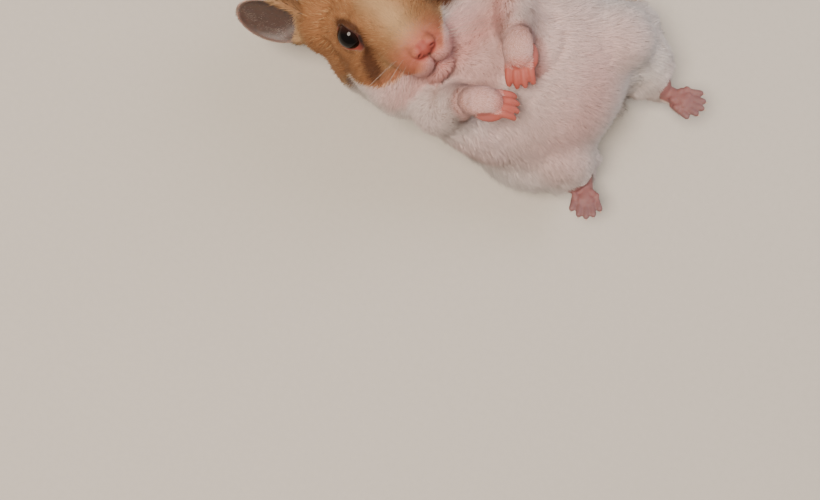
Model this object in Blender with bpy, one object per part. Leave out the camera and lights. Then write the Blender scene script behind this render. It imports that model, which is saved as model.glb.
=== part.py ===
"""A young Syrian hamster lying on its back, modelled out to the tips of its coat.

The furred body is fused from overlapping round masses, softened, and then parted by thin cuts into head, neck,
trunk and legs. Paws, feet, tail, ears and eyes are solids of their own, trimmed by the parts they grow from, so
that neighbours meet with a hair's gap and never overlap. The frame: +X runs from head to tail, +Y to the animal's
left, +Z up, out of its belly. The origin is on the floor, at the centre of the model's box.
"""

import math

import bmesh
import bpy
import numpy as np
from mathutils import Euler, Matrix, Vector

MM = 0.001
GAP = 0.3 * MM  # kept between neighbouring solids
SIDES = {"right": -1, "left": 1}

# Trunk: a round barrel, rolled a little onto its right side. Its frame is x to the tail, y left, z out of the belly.
TRUNK_AT = Vector((2.0, 6.0, 18.4)) * MM
TRUNK_ROLL = math.radians(22)

# Head: its frame has its origin at the nose tip, x forward, y left, z towards the crown.
NOSE_AT = Vector((-21.4, -4.6, 46.0)) * MM
NOSE_HEADING = math.radians(-38)
NOSE_LIFT = math.radians(59)
HEAD_TILT = math.radians(16)

# The two thin cuts across the body: each passes a point at the throat and a point at the nape, in millimetres.
HEAD_CUT = {"throat": (-15.8, -3.3, 33.5), "nape": (-38, 6, 0), "side": (0.4, 0.91, 0.14)}
NECK_CUT = {"throat": (-10.0, 0, 36), "nape": (-16, 6, 0), "side": (0, 1, 0)}

EYE_AT = Vector((-17.5, 9.3, 6.9)) * MM
EYE_RADIUS = 3.15 * MM

EAR_ROOT = Vector((-31.7, 10.9, 9.2)) * MM
EAR_TIP = Vector((-35.7, 25.8, 23.6)) * MM
EAR_WIDTH = 12.8 * MM
EAR_CUP = 3.4 * MM
EAR_WALL = 0.9 * MM
EAR_TURN = math.radians(32)  # how far the hollow side is turned outwards from straight ahead

# Limbs: the joints of each in millimetres, in the model's frame before it is centred.
FORELIMB = {
    "right": {"shoulder": (-15, -8, 24), "elbow": (-13.5, -12.2, 29), "wrist": (-8.6, -10.3, 39.4)},
    "left": {"shoulder": (-14, 20, 27), "elbow": (-9, 17, 33), "wrist": (-4.6, 6.8, 40.4)},
}
HAND_AT = {"right": (-8.2, -10.2, 42.0), "left": (-4.2, 6.2, 43.0)}
HAND_AIM = {"right": (0.94, 0.34, 0.03), "left": (0.42, -0.91, 0.0)}
HAND_BACK = {"right": (-0.05, 0.32, 1.0), "left": (-0.32, -0.1, 1.0)}
HIND_LIMB = {
    "right": {"hip": (13, -7, 13), "knee": (18.6, -10.1, 12), "ankle": (24.6, -10.5, 9.0)},
    "left": {"hip": (13, 18, 17), "knee": (24.6, 19.9, 15.5), "ankle": (33.5, 16.5, 11.2)},
}
FOOT_AIM = {"right": (0.33, -0.85, 0.38), "left": (0.92, -0.12, 0.34)}
FOOT_SOLE = {"right": (-0.2, 0.35, 1.0), "left": (-0.35, 0.1, 1.0)}

BODY_TRIANGLES = 3700
HAND_TRIANGLES = 350
FOOT_TRIANGLES = 350

COLOURS = {
    "white_coat": ((0.62, 0.55, 0.51), 0.85),
    "golden_coat": ((0.45, 0.26, 0.12), 0.85),
    "pink_skin": ((0.55, 0.27, 0.24), 0.6),
    "ear_skin": ((0.18, 0.13, 0.12), 0.6),
    "eye": ((0.01, 0.008, 0.008), 0.08),
}


def clear_scene():
    for obj in list(bpy.data.objects):
        bpy.data.objects.remove(obj, do_unlink=True)


def material(name):
    found = bpy.data.materials.get(name)
    if found:
        return found
    colour, roughness = COLOURS[name]
    made = bpy.data.materials.new(name)
    made.use_nodes = True
    shader = made.node_tree.nodes["Principled BSDF"]
    shader.inputs["Base Color"].default_value = (*colour, 1.0)
    shader.inputs["Roughness"].default_value = roughness
    shader.inputs["Metallic"].default_value = 0.0
    return made


def frame_of(origin, forward, up):
    """A frame at origin whose x axis is forward and whose z axis is as near to up as it can be."""
    x = Vector(forward).normalized()
    y = Vector(up).cross(x).normalized()
    z = x.cross(y)
    return Matrix.Translation(origin) @ Matrix((x, y, z)).transposed().to_4x4()


WORLD_FRAME = Matrix.Identity(4)
TRUNK_FRAME = Matrix.Translation(TRUNK_AT) @ Matrix.Rotation(TRUNK_ROLL, 4, "X")
HEAD_FRAME = Matrix.Translation(NOSE_AT) @ Euler((HEAD_TILT, -NOSE_LIFT, NOSE_HEADING), "XYZ").to_matrix().to_4x4()


class Masses:
    """Overlapping round masses, placed in a frame that can be changed, with all sizes in millimetres."""

    def __init__(self, frame=WORLD_FRAME):
        self.frame = frame
        self.bm = bmesh.new()

    def ball(self, at, radii, turn=(0, 0, 0), subdivisions=4):
        """An ellipsoid with its centre at at, turned by three angles in degrees."""
        turned = Euler([math.radians(a) for a in turn]).to_matrix().to_4x4()
        size = Matrix.Diagonal((*[r * MM for r in radii], 1.0))
        place = self.frame @ Matrix.Translation(Vector(at) * MM) @ turned @ size
        bmesh.ops.create_icosphere(self.bm, subdivisions=subdivisions, radius=1.0, matrix=place)

    def pair(self, at, radii, turn=(0, 0, 0)):
        """The same ellipsoid on both sides of the frame's middle."""
        for side in SIDES.values():
            mirrored = (turn[0] * side, turn[1], turn[2] * side)
            self.ball((at[0], at[1] * side, at[2]), radii, mirrored)

    def taper(self, start, end, start_radius, end_radius, steps=9):
        """A tapered limb: balls strung from start to end, close enough together to fuse."""
        start, end = Vector(start), Vector(end)
        for i in range(steps):
            share = i / (steps - 1)
            radius = start_radius + (end_radius - start_radius) * share
            self.ball(start.lerp(end, share), (radius, radius, radius))


def link(name, bm_or_mesh, finish=None):
    """A named object in the scene from a mesh, or from a bmesh that is used up."""
    mesh = bm_or_mesh
    if isinstance(bm_or_mesh, bmesh.types.BMesh):
        mesh = bpy.data.meshes.new(name)
        bm_or_mesh.to_mesh(mesh)
        bm_or_mesh.free()
    obj = bpy.data.objects.new(name, mesh)
    bpy.context.scene.collection.objects.link(obj)
    if finish:
        mesh.materials.clear()
        mesh.materials.append(material(finish))
    return obj


def settle(obj):
    """Replaces the object's mesh with what its modifiers make of it."""
    graph = bpy.context.evaluated_depsgraph_get()
    graph.update()
    mesh = bpy.data.meshes.new_from_object(obj.evaluated_get(graph))
    obj.modifiers.clear()
    obj.data = mesh
    return obj


def fuse(name, masses, finish, grain, rounds, triangles):
    """One closed body from the masses: remeshed at grain mm, smoothed over rounds passes, thinned to triangles."""
    obj = link(name, masses.bm)
    remesh = obj.modifiers.new("fuse", "REMESH")
    remesh.mode = "VOXEL"
    remesh.voxel_size = grain * MM
    smooth = obj.modifiers.new("soften", "SMOOTH")
    smooth.factor = 0.5
    smooth.iterations = rounds
    settle(obj)
    thin = obj.modifiers.new("thin", "DECIMATE")
    thin.ratio = min(1.0, triangles / (2 * len(obj.data.polygons)))
    thin.use_collapse_triangulate = True
    settle(obj)
    return painted(obj, finish)


def painted(obj, finish):
    obj.data.materials.clear()
    obj.data.materials.append(material(finish))
    obj.data.shade_smooth()
    obj.data.set_sharp_from_angle(angle=math.radians(40))
    return obj


def boolean(obj, cutter, operation="DIFFERENCE"):
    cut = obj.modifiers.new("cut", "BOOLEAN")
    cut.operation = operation
    cut.solver = "EXACT"
    cut.object = cutter
    settle(obj)


def trim(obj, *neighbours):
    """Takes away what lies in the neighbours, or within the gap of them."""
    for neighbour in neighbours:
        swollen = link("swollen", neighbour.data.copy())
        swell = swollen.modifiers.new("swell", "DISPLACE")
        swell.strength = GAP
        swell.mid_level = 0.0
        settle(swollen)
        boolean(obj, swollen)
        bpy.data.objects.remove(swollen)


def keep_largest(obj):
    """Drops the crumbs that a trim can leave, and keeps the one largest body."""
    bm = bmesh.new()
    bm.from_mesh(obj.data)
    bmesh.ops.remove_doubles(bm, verts=bm.verts, dist=0.002 * MM)
    left, bodies = set(bm.verts), []
    while left:
        body, edge = set(), [left.pop()]
        while edge:
            vert = edge.pop()
            body.add(vert)
            near = {e.other_vert(vert) for e in vert.link_edges} & left
            left -= near
            edge.extend(near)
        bodies.append(body)
    bodies.sort(key=len, reverse=True)
    bmesh.ops.delete(bm, geom=[v for body in bodies[1:] for v in body], context="VERTS")
    bmesh.ops.triangulate(bm, faces=bm.faces)
    bm.to_mesh(obj.data)
    bm.free()
    return obj


def half_space(frame, offset):
    """A great block that fills everything behind the plane at offset along the frame's x axis."""
    size = 300 * MM
    bm = bmesh.new()
    bmesh.ops.create_cube(bm, size=size, matrix=frame @ Matrix.Translation((offset - size / 2, 0, 0)))
    return link("half_space", bm)


def sleeve(start, end, start_radius, end_radius, grown):
    """The tapered round-ended region of a limb, in mm: the hull of two balls, grown by the gap if grown is true."""
    extra = GAP if grown else 0.0
    balls, bm = bmesh.new(), bmesh.new()
    for at, radius in ((start, start_radius), (end, end_radius)):
        place = Matrix.Translation(Vector(at) * MM)
        bmesh.ops.create_icosphere(balls, subdivisions=2, radius=radius * MM + extra, matrix=place)
    corners = [bm.verts.new(v.co) for v in balls.verts]
    balls.free()
    hull = bmesh.ops.convex_hull(bm, input=corners)
    bmesh.ops.delete(bm, geom=hull["geom_interior"], context="VERTS")
    bmesh.ops.recalc_face_normals(bm, faces=bm.faces)
    return link("sleeve", bm)


def part_off(body, name, finish, start, end, start_radius, end_radius):
    """Cuts the limb inside the sleeve out of the body as an object of its own."""
    limb = link(name, body.data.copy())
    inner = sleeve(start, end, start_radius, end_radius, grown=False)
    outer = sleeve(start, end, start_radius, end_radius, grown=True)
    boolean(limb, inner, "INTERSECT")
    boolean(body, outer)
    bpy.data.objects.remove(inner)
    bpy.data.objects.remove(outer)
    return painted(limb, finish)


def split(body, name, finish, cut):
    """Cuts what lies ahead of the plane off the body as an object of its own, with the gap between them."""
    throat, nape = Vector(cut["throat"]) * MM, Vector(cut["nape"]) * MM
    frame = frame_of(throat, Vector(cut["side"]).cross(nape - throat), cut["side"])
    ahead = link(name, body.data.copy())
    behind_cut = half_space(frame, 0.0)
    boolean(ahead, behind_cut)
    bpy.data.objects.remove(behind_cut)
    kept = half_space(frame, -GAP)
    boolean(body, kept, "INTERSECT")
    bpy.data.objects.remove(kept)
    return painted(ahead, finish)


def press_on_floor(obj):
    """Cuts off what lies under the floor, which leaves the small flat that the part rests on."""
    under = half_space(frame_of(Vector((0, 0, 0)), (0, 0, 1), (1, 0, 0)), 0.0)
    boolean(obj, under)
    bpy.data.objects.remove(under)


def add_trunk(masses):
    """Thorax, belly and rump, with the fullness of the shoulders, the thighs and the breast."""
    masses.frame = TRUNK_FRAME
    masses.ball((-1, 0, 0), (23.0, 24.8, 19.0))
    masses.ball((-17, 0, 0.5), (17.5, 20.0, 17.5))
    masses.ball((8, 0, -2.0), (14.5, 21.0, 15.8))
    masses.ball((-13, 0, 9.5), (11.0, 12.0, 10.5))
    masses.pair((-15, 11.5, 3.0), (11.5, 9.5, 11.0))
    masses.pair((11, 13.3, 0.5), (12.6, 9.6, 12.0), turn=(0, 0, 20))
    masses.ball((6, -16.5, -1.5), (14.5, 10.8, 11.5))


def add_neck(masses):
    """The thick loose nape, which lies on the floor behind the head, and the ruff below the cheeks."""
    masses.frame = WORLD_FRAME
    masses.taper((-30.5, 3.2, 18.2), (-19, 5, 18.4), 18.4, 19.0)
    masses.ball((-24, -8.5, 24), (10.5, 9.0, 10.0))


def add_head(masses):
    """Cranium, brow, cheeks with their pouches, muzzle, lip pads, nose and lower jaw."""
    masses.frame = HEAD_FRAME
    masses.ball((-27.5, 0, 3.4), (13.5, 16.8, 14.0))
    masses.pair((-30.8, 9.8, 8.2), (9.8, 9.0, 9.6))
    masses.ball((-16.5, 0, 4.2), (11.0, 9.2, 8.0), turn=(0, 14, 0))
    masses.pair((-21.5, 8.8, -4.4), (11.0, 8.3, 9.7))
    masses.ball((-10.0, 0, 0.4), (9.0, 8.2, 6.2), turn=(0, 8, 0))
    masses.pair((-5.4, 3.4, -2.7), (4.6, 3.8, 3.4))
    masses.ball((-1.9, 0, -0.5), (2.2, 2.6, 2.5))
    masses.ball((-10.2, 0, -6.2), (6.8, 5.2, 3.6))
    masses.pair((-17.5, 6.6, 8.8), (4.6, 2.4, 2.2), turn=(0, 0, 20))


def add_limbs(masses):
    """Upper arms and forearms, thighs and shanks, as they show through the coat."""
    masses.frame = WORLD_FRAME
    for side in SIDES:
        arm, leg = FORELIMB[side], HIND_LIMB[side]
        masses.taper(arm["shoulder"], arm["elbow"], 7.8, 6.6)
        masses.taper(arm["elbow"], arm["wrist"], 6.4, 3.9)
        masses.taper(leg["hip"], leg["knee"], 9.5, 7.4)
        masses.taper(leg["knee"], leg["ankle"], 6.8, 3.0)


def eye(side):
    masses = Masses(HEAD_FRAME)
    at = Vector((EYE_AT.x, EYE_AT.y * SIDES[side], EYE_AT.z)) / MM
    masses.ball(at, [EYE_RADIUS / MM] * 3, subdivisions=3)
    obj = link(f"eye_{side}", masses.bm, "eye")
    obj.data.shade_smooth()
    return obj


def ear(side):
    """A thin cupped leaf. A point at radius r and angle a of a disc goes to a rounded leaf that is widest beyond
    its middle, and the leaf bends into a cup by the square of its way across."""
    sign = SIDES[side]
    root = Vector((EAR_ROOT.x, EAR_ROOT.y * sign, EAR_ROOT.z))
    tip = Vector((EAR_TIP.x, EAR_TIP.y * sign, EAR_TIP.z))
    length = (tip - root).length
    up = (tip - root).normalized()
    ahead = Vector((1, 0, 0))
    hollow = (ahead - up * ahead.dot(up)).normalized()
    hollow = Matrix.Rotation(EAR_TURN * sign, 3, up) @ hollow
    across = hollow.cross(up)
    rings, spokes = 4, 20
    r, a = np.meshgrid(np.arange(1, rings + 1) / rings, np.arange(spokes) / spokes * 2 * math.pi, indexing="ij")
    along = np.append(0.0, (r * np.sin(a)).ravel())
    wide = np.append(0.0, (r * np.cos(a)).ravel())
    spread = EAR_WIDTH / 2 * (1.0 + 0.16 * along - 0.22 * (1 - along) * (along < 0) * np.abs(along))
    points = (
        np.array(root)
        + np.outer((along + 1) / 2 * length, up)
        + np.outer(wide * spread, across)
        + np.outer(EAR_CUP * (wide**2 - 0.35) * (1 - 0.35 * along), hollow)
    )
    faces = [(0, 1 + i, 1 + (i + 1) % spokes) for i in range(spokes)]
    for ring in range(rings - 1):
        inner = 1 + ring * spokes
        for i in range(spokes):
            j = (i + 1) % spokes
            faces.append((inner + i, inner + spokes + i, inner + spokes + j, inner + j))
    mesh = bpy.data.meshes.new(f"ear_{side}")
    mesh.from_pydata([HEAD_FRAME @ Vector(p) for p in points], [], faces)
    obj = link(f"ear_{side}", mesh)
    wall = obj.modifiers.new("wall", "SOLIDIFY")
    wall.thickness = EAR_WALL
    wall.offset = 0.0
    settle(obj)
    bm = bmesh.new()
    bm.from_mesh(obj.data)
    bmesh.ops.recalc_face_normals(bm, faces=bm.faces)
    bm.to_mesh(obj.data)
    bm.free()
    return painted(obj, "ear_skin")


def forepaw(side):
    """The furry back of the hand, rounded over the bent wrist, and four digits that droop over the palm."""
    masses = Masses(frame_of(Vector(HAND_AT[side]) * MM, HAND_AIM[side], HAND_BACK[side]))
    masses.ball((2.4, 0, 0), (5.0, 3.7, 3.0))
    masses.ball((6.4, 0, -0.9), (2.4, 3.0, 1.7))
    masses.ball((4.3, 0.9 * SIDES[side], -1.5), (4.0, 3.3, 1.7))
    for i in range(4):
        place = i - 1.5
        aim = math.radians(3 * place)
        root = Vector((6.5 - 0.3 * place**2, 1.5 * place, -0.5))
        knuckle = root + Vector((math.cos(aim), math.sin(aim), -0.15)) * 2.5
        tip = knuckle + Vector((math.cos(aim) * 0.8, math.sin(aim) * 0.8, -0.7)) * 1.9
        masses.taper(root, knuckle, 1.0, 0.92, steps=6)
        masses.taper(knuckle, tip, 0.92, 0.68, steps=5)
    return fuse(f"forepaw_{side}", masses, "pink_skin", 0.28, 2, HAND_TRIANGLES)


def hind_foot(side):
    """The naked sole with its pads, and five spread toes."""
    ankle = Vector(HIND_LIMB[side]["ankle"]) * MM
    masses = Masses(frame_of(ankle, FOOT_AIM[side], FOOT_SOLE[side]))
    masses.taper((-1.0, 0, -0.6), (5.6, 0, 0), 2.4, 2.0)
    masses.ball((5.5, 0, -0.1), (2.9, 3.1, 1.7))
    for i in range(5):
        place = i - 2
        aim = math.radians(8 * place)
        reach = 3.1 - 0.15 * place**2
        root = Vector((6.9 - 0.35 * place**2, 1.3 * place, 0.0))
        tip = root + Vector((math.cos(aim), math.sin(aim), 0.1)) * reach
        masses.taper(root, tip, 0.95, 0.78, steps=7)
        masses.ball(root + Vector((-0.3, 0, 0.9)), (0.95, 0.8, 0.7))
    return fuse(f"hind_foot_{side}", masses, "pink_skin", 0.28, 2, FOOT_TRIANGLES)


def tail():
    """The short bare tail, tucked under the rump."""
    masses = Masses(TRUNK_FRAME)
    masses.taper((15, 0, -9), (22.5, -1.0, -13.5), 2.3, 1.1)
    return fuse("tail", masses, "pink_skin", 0.4, 3, 200)


def centre_on_floor(objects):
    """Moves the whole model so that the origin is on the floor, at the centre of its box."""
    points = np.array([v.co for obj in objects for v in obj.data.vertices])
    low, high = points.min(axis=0), points.max(axis=0)
    shift = Matrix.Translation((-(low[0] + high[0]) / 2, -(low[1] + high[1]) / 2, -low[2]))
    for obj in objects:
        obj.data.transform(shift)
    return shift.translation


def main():
    clear_scene()
    masses = Masses()
    for add in (add_trunk, add_neck, add_head, add_limbs):
        add(masses)
    body = fuse("trunk", masses, "white_coat", 0.7, 8, BODY_TRIANGLES)
    press_on_floor(body)
    legs = {}
    for side in SIDES:
        arm, leg = FORELIMB[side], HIND_LIMB[side]
        elbow, wrist = Vector(arm["elbow"]), Vector(arm["wrist"])
        reach = (wrist - elbow).normalized()
        legs["fore", side] = part_off(
            body, f"foreleg_{side}", "white_coat", elbow, wrist + reach * 8, 8.6, 6.0
        )
        knee, ankle = Vector(leg["knee"]), Vector(leg["ankle"])
        reach = (ankle - knee).normalized()
        legs["hind", side] = part_off(
            body, f"hind_leg_{side}", "white_coat", knee, ankle + reach * 8, 8.8, 6.0
        )
    head = split(body, "head", "golden_coat", HEAD_CUT)
    neck = split(body, "neck", "golden_coat", NECK_CUT)
    parts, hands = [body, head, neck, *legs.values()], []
    for part in parts:
        keep_largest(part)
    for side in SIDES:
        ball = eye(side)
        leaf = ear(side)
        trim(leaf, head, neck, body)
        trim(head, ball)
        hand = forepaw(side)
        trim(hand, legs["fore", side], body, head, *hands)
        hands.append(hand)
        foot = hind_foot(side)
        trim(foot, legs["hind", side], body)
        parts += [ball, leaf, hand, foot]
    stub = tail()
    trim(stub, body)
    press_on_floor(stub)
    parts.append(stub)
    for part in parts:
        keep_largest(part)
    print("shift", centre_on_floor(parts))
    print({part.name: len(part.data.polygons) for part in parts})


main()
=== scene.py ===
"""A young golden and white Syrian hamster at life size, on its back with its paws folded on its breast.

The order is the animal's own: how it lies, its skin and its ears, the coat that grows from them, and then
its eyes, claws and whiskers, and last the floor, the lights and the camera. Shapes are worked out in mm,
and times MM they take their places in metres.
"""

import math

import bpy
import numpy as np
from mathutils import Matrix, Vector


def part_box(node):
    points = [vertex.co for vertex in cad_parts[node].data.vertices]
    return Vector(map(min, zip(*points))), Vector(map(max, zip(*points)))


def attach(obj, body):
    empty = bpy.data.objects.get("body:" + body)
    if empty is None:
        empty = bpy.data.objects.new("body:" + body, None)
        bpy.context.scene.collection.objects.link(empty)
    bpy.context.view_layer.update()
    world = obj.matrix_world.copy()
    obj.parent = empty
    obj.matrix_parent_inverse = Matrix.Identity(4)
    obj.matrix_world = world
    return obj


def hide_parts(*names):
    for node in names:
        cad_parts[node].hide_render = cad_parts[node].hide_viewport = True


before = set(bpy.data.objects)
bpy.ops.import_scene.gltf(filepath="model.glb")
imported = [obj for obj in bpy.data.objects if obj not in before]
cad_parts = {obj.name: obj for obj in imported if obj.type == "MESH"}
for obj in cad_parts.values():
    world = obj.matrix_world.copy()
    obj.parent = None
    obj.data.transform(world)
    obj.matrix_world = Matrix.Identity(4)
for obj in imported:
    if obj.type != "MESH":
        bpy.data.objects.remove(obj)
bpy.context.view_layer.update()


# ---- How the animal lies ----
# The trunk lies on its back, rolled a little onto its right side. The head is bent forward between the
# shoulders, so that the face looks up out of the breast. Everything below is placed from the two eyes and
# these directions.
MM = 0.001
SIDES = {"right": -1, "left": 1}
NOSE_HEADING, NOSE_LIFT = math.radians(-38), math.radians(59)
NOSE_FROM_EYES = (17.5, -6.9)  # mm ahead of the line between the eyes, and above it
TRUNK_FROM_NOSE = np.array([23.4, 10.6, -27.6])  # mm
TRUNK_ROLL = math.radians(22)


def unit(v):
    """The same directions at length one."""
    return v / np.maximum(np.linalg.norm(v, axis=-1, keepdims=True), 1e-12)


def middle(node):
    """The middle of a CAD node's box."""
    low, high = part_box(node)
    return (np.array(low) + np.array(high)) / 2


eye_middle = {side: middle(f"eye_{side}") for side in SIDES}
EYE_RADIUS = (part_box("eye_right")[1].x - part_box("eye_right")[0].x) / 2 / MM
flat = math.cos(NOSE_LIFT)
aim = np.array([flat * math.cos(NOSE_HEADING), flat * math.sin(NOSE_HEADING), math.sin(NOSE_LIFT)])
head_left = unit(eye_middle["left"] - eye_middle["right"])
head_ahead = unit(aim - head_left * (aim @ head_left))
head_axes = np.array([head_ahead, head_left, np.cross(head_ahead, head_left)])
nose = (eye_middle["left"] + eye_middle["right"]) / 2
nose = nose + NOSE_FROM_EYES[0] * MM * head_axes[0] + NOSE_FROM_EYES[1] * MM * head_axes[2]
c, s = math.cos(TRUNK_ROLL), math.sin(TRUNK_ROLL)
trunk_axes = np.array([[1, 0, 0], [0, c, s], [0, -s, c]])
trunk_at = nose + TRUNK_FROM_NOSE * MM


def in_head(points):
    """Points in mm in the head's frame: ahead of the nose tip, to the animal's left, and up to the crown."""
    return (points - nose) @ head_axes.T / MM


def in_trunk(points):
    """Points in mm in the trunk's frame: towards the tail, to the animal's left, and out of the belly."""
    return (points - trunk_at) @ trunk_axes.T / MM


# ---- Skin ----
# One skin of thin pink hide covers the whole body. It lies inside the outline by the depth of the coat, most
# on the trunk and nothing on the paws, and it carries the lips, nostrils, eyelids, digits, pads and tail.
LIMBS = {  # mm, from elbow to wrist and from knee to ankle
    "fore_right": [(-2.2, -20.9, 29.0), (2.7, -19.0, 39.4)],
    "fore_left": [(2.3, 8.3, 33.0), (6.7, -1.9, 40.4)],
    "hind_right": [(29.9, -18.8, 12.0), (35.9, -19.2, 9.0)],
    "hind_left": [(35.9, 11.2, 15.5), (44.8, 7.8, 11.2)],
}
HANDS = {  # mm: the wrist, and which way the digits point and the back faces
    "right": {"at": (3.1, -18.9, 42.0), "aim": (0.94, 0.34, 0.03), "back": (-0.05, 0.32, 1.0)},
    "left": {"at": (7.1, -2.5, 43.0), "aim": (0.42, -0.91, 0.0), "back": (-0.32, -0.1, 1.0)},
}
FEET = {  # mm: the ankle, and which way the toes point and the sole faces
    "right": {"at": (35.9, -19.2, 9.0), "aim": (0.33, -0.85, 0.38), "sole": (-0.2, 0.35, 1.0)},
    "left": {"at": (44.8, 7.8, 11.2), "aim": (0.92, -0.12, 0.34), "sole": (-0.35, 0.1, 1.0)},
}
FURRED_NODES = ["head", "neck", "trunk", "foreleg_right", "foreleg_left", "hind_leg_right", "hind_leg_left"]
FLESH_GRAIN, SKIN_GRAIN = 0.6, 0.26  # mm between points, before and after the face and paws are put on
SKIN_TRIANGLES = 186000  # at most
EYE_AIM = np.array([0.62, 0.72, 0.29])  # of the left eye, in the head's frame
LID_OPENING = 65  # degrees from the eye's aim
HEAD_MIDDLE = -16  # mm ahead of the nose


def ease(low, high, x):
    """0 below low and 1 above high, with a smooth step between them."""
    t = np.clip((x - low) / (high - low), 0, 1)
    return t * t * (3 - 2 * t)


def hump(x, middle, width):
    """1 at the middle and less to either side: e to minus the square of how many widths x is away."""
    return np.exp(-(((x - middle) / width) ** 2))


def mirrored(left, side):
    """A point or a direction of the head's left side, or the same one on the right side."""
    return left * [1, SIDES[side], 1]


def solid(name, points, triangles):
    """A mesh object at the origin, from an array of points in metres and an array of triangles."""
    mesh = bpy.data.meshes.new(name)
    count = len(triangles)
    mesh.vertices.add(len(points))
    mesh.vertices.foreach_set("co", np.asarray(points, np.float32).ravel())
    mesh.loops.add(3 * count)
    mesh.loops.foreach_set("vertex_index", np.asarray(triangles, np.int32).ravel())
    mesh.polygons.add(count)
    mesh.polygons.foreach_set("loop_start", np.arange(0, 3 * count, 3, dtype=np.int32))
    mesh.update(calc_edges=True)
    mesh.shade_smooth()
    obj = bpy.data.objects.new(name, mesh)
    bpy.context.scene.collection.objects.link(obj)
    return obj


def read(mesh):
    """The points, vertex normals and triangles of a mesh as arrays."""
    points = np.empty(3 * len(mesh.vertices), np.float32)
    normals = np.empty_like(points)
    mesh.vertices.foreach_get("co", points)
    mesh.vertex_normals.foreach_get("vector", normals)
    mesh.calc_loop_triangles()
    triangles = np.empty(3 * len(mesh.loop_triangles), np.int32)
    mesh.loop_triangles.foreach_get("vertices", triangles)
    return points.reshape(-1, 3).astype(float), normals.reshape(-1, 3).astype(float), triangles.reshape(-1, 3)


def worked(obj, *steps):
    """Applies modifiers one after the other, each given as its type and its settings."""
    for kind, settings in steps:
        step = obj.modifiers.new(kind.lower(), kind)
        for key, value in settings.items():
            setattr(step, key, value)
    graph = bpy.context.evaluated_depsgraph_get()
    graph.update()
    mesh = bpy.data.meshes.new_from_object(obj.evaluated_get(graph))
    obj.modifiers.clear()
    obj.data = mesh
    return obj


def joined(*shapes):
    """Several (points, triangles) shapes as one, with their triangles renumbered."""
    starts = np.cumsum([0] + [len(points) for points, _ in shapes[:-1]])
    return (
        np.concatenate([points for points, _ in shapes]),
        np.concatenate([triangles + start for (_, triangles), start in zip(shapes, starts)]),
    )


def cad_copy(node):
    """A CAD node's triangles with their corners merged: points equal to a tenth of a micron become one."""
    points, _, triangles = read(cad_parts[node].data)
    _, first, index = np.unique(np.round(points * 1e7), axis=0, return_index=True, return_inverse=True)
    return points[first], index.ravel()[triangles]


def rings_closed(rings, start, end):
    """The surface through an array of rings, each a loop of points, closed at both ends by a fan."""
    count, around = rings.shape[:2]
    i, j = np.meshgrid(np.arange(count - 1), np.arange(around), indexing="ij")
    a, b = i * around + j, i * around + (j + 1) % around
    sides = np.concatenate([np.stack([a, b, b + around], -1), np.stack([a, b + around, a + around], -1)])
    j = np.arange(around)
    first, last = count * around, count * around + 1
    fan = np.stack([np.full(around, first), (j + 1) % around, j], -1)
    last_ring = (count - 1) * around
    far = np.stack([np.full(around, last), last_ring + j, last_ring + (j + 1) % around], -1)
    points = np.concatenate([rings.reshape(-1, 3), [start], [end]])
    return points, np.concatenate([sides.reshape(-1, 3), fan, far])


def placed(shape, origin, axes):
    """A shape in mm moved to its place: its x, y and z follow the axes, from an origin given in metres."""
    points, triangles = shape
    return origin + points * MM @ axes, triangles


def swelling(points):
    """How many mm the solids swell before they are shrunk by as much again: a little on the face, which
    only closes the cuts between them, and more on the body, which fills the hollows between limbs and trunk
    with loose skin."""
    on_face = 1 - ease(17, 26, np.linalg.norm(in_head(points) + [3, 0, 0], axis=1))
    return 2.7 - 2.1 * on_face


def ball(at, radii, around=28, rings=18):
    """An ellipsoid in mm. At angle a round it and b down from its top, x is cos a sin b, y is sin a sin b
    and z is cos b, each times its radius."""
    down, turn = np.linspace(0, np.pi, rings + 2)[1:-1], np.arange(around) / around * 2 * np.pi
    b, a = np.meshgrid(down, turn, indexing="ij")
    rings = np.stack([np.cos(a) * np.sin(b), np.sin(a) * np.sin(b), np.cos(b)], -1)[::-1]
    at, radii = np.array(at, float), np.array(radii, float)
    return rings_closed(rings * radii + at, at - [0, 0, radii[2]], at + [0, 0, radii[2]])


def limb(path, radii, around=14, up=(0, 0, 1)):
    """A round limb in mm carried along a path. The path and its radii are rounded off by cutting their
    corners three times, a quarter of the way along each side, and half balls close both ends."""
    line = np.column_stack([np.asarray(path, float), radii])
    for _ in range(3):
        cut = np.empty((2 * len(line) - 2, 4))
        cut[0::2], cut[1::2] = 0.75 * line[:-1] + 0.25 * line[1:], 0.25 * line[:-1] + 0.75 * line[1:]
        line = np.concatenate([line[:1], cut, line[-1:]])
    centre, radius = line[:, :3], line[:, 3]
    ahead = unit(np.gradient(centre, axis=0))
    turn = np.array([15, 40, 65]) / 180 * np.pi
    centre = np.concatenate([
        centre[0] - ahead[0] * radius[0] * np.cos(turn)[:, None], centre,
        centre[-1] + ahead[-1] * radius[-1] * np.cos(turn[::-1])[:, None],
    ])
    radius = np.concatenate([radius[0] * np.sin(turn), radius, radius[-1] * np.sin(turn[::-1])])
    ahead = np.concatenate([ahead[[0, 0, 0]], ahead, ahead[[-1, -1, -1]]])
    left = unit(np.cross(up, ahead))
    over = np.cross(ahead, left)
    a = np.arange(around) / around * 2 * np.pi
    ring = left[:, None] * np.cos(a)[:, None] + over[:, None] * np.sin(a)[:, None]
    rings = centre[:, None] + ring * radius[:, None, None]
    start, end = line[0, :3] - ahead[0] * line[0, 3], line[-1, :3] + ahead[-1] * line[-1, 3]
    return rings_closed(rings, start, end)


def axes_of(forward, up):
    """Three axes: x along forward, z as near to up as it can be, y to the left of them."""
    x = unit(np.array(forward, float))
    y = unit(np.cross(up, x))
    return np.array([x, y, np.cross(x, y)])


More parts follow.
